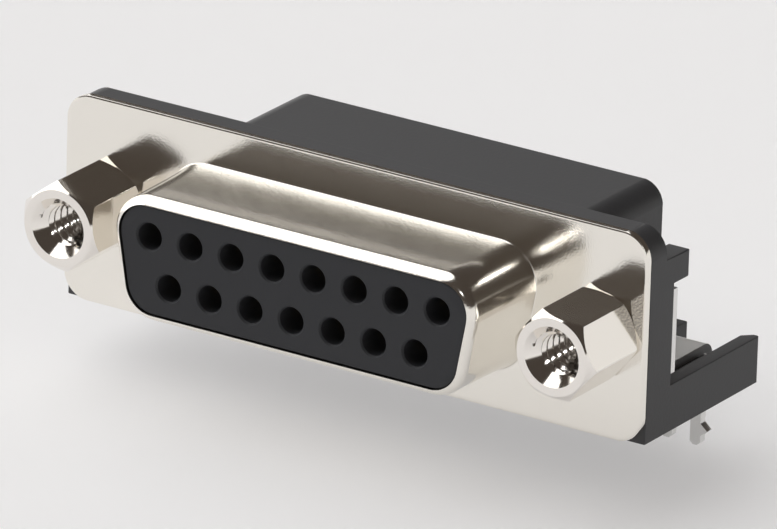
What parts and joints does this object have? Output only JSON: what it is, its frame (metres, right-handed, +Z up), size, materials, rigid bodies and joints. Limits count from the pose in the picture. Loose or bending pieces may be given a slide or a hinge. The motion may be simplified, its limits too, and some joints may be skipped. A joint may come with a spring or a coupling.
{
  "type": "d-sub connector",
  "caption": "Right-angle board-mount D-sub socket connector with a nickel-plated D-shaped shell, a black insulator with two rows of sockets, threaded jack sockets and board-lock legs.",
  "frame": {"origin": "on the board's surface, midway between the two board-lock posts", "axes": "+X along the connector, -Y out of the mating face, +Z up from the board"},
  "size_m": [0.0392, 0.0191, 0.0158],
  "materials": {
    "shell_nickel": "bright nickel plate on drawn steel",
    "jack_nickel": "bright nickel plate on turned metal",
    "bracket_tin": "tin plate on stamped sheet",
    "contact_gold": "gold flash on brass",
    "insulator_black": "moulded glass-filled polyester, satin"
  },
  "bodies": {
    "root": {"front_shell": "shell_nickel", "contact_block": "insulator_black", "housing": "insulator_black", "tail_spacer": "insulator_black", "jack_socket_left": "jack_nickel", "jack_socket_right": "jack_nickel", "ground_bracket_left": "bracket_tin", "ground_bracket_right": "bracket_tin", "contact_1": "contact_gold", "contact_2": "contact_gold", "contact_3": "contact_gold", "contact_4": "contact_gold", "contact_5": "contact_gold", "contact_6": "contact_gold", "contact_7": "contact_gold", "contact_8": "contact_gold", "contact_9": "contact_gold", "contact_10": "contact_gold", "contact_11": "contact_gold", "contact_12": "contact_gold", "contact_13": "contact_gold", "contact_14": "contact_gold", "contact_15": "contact_gold"}
  },
  "joints": []
}
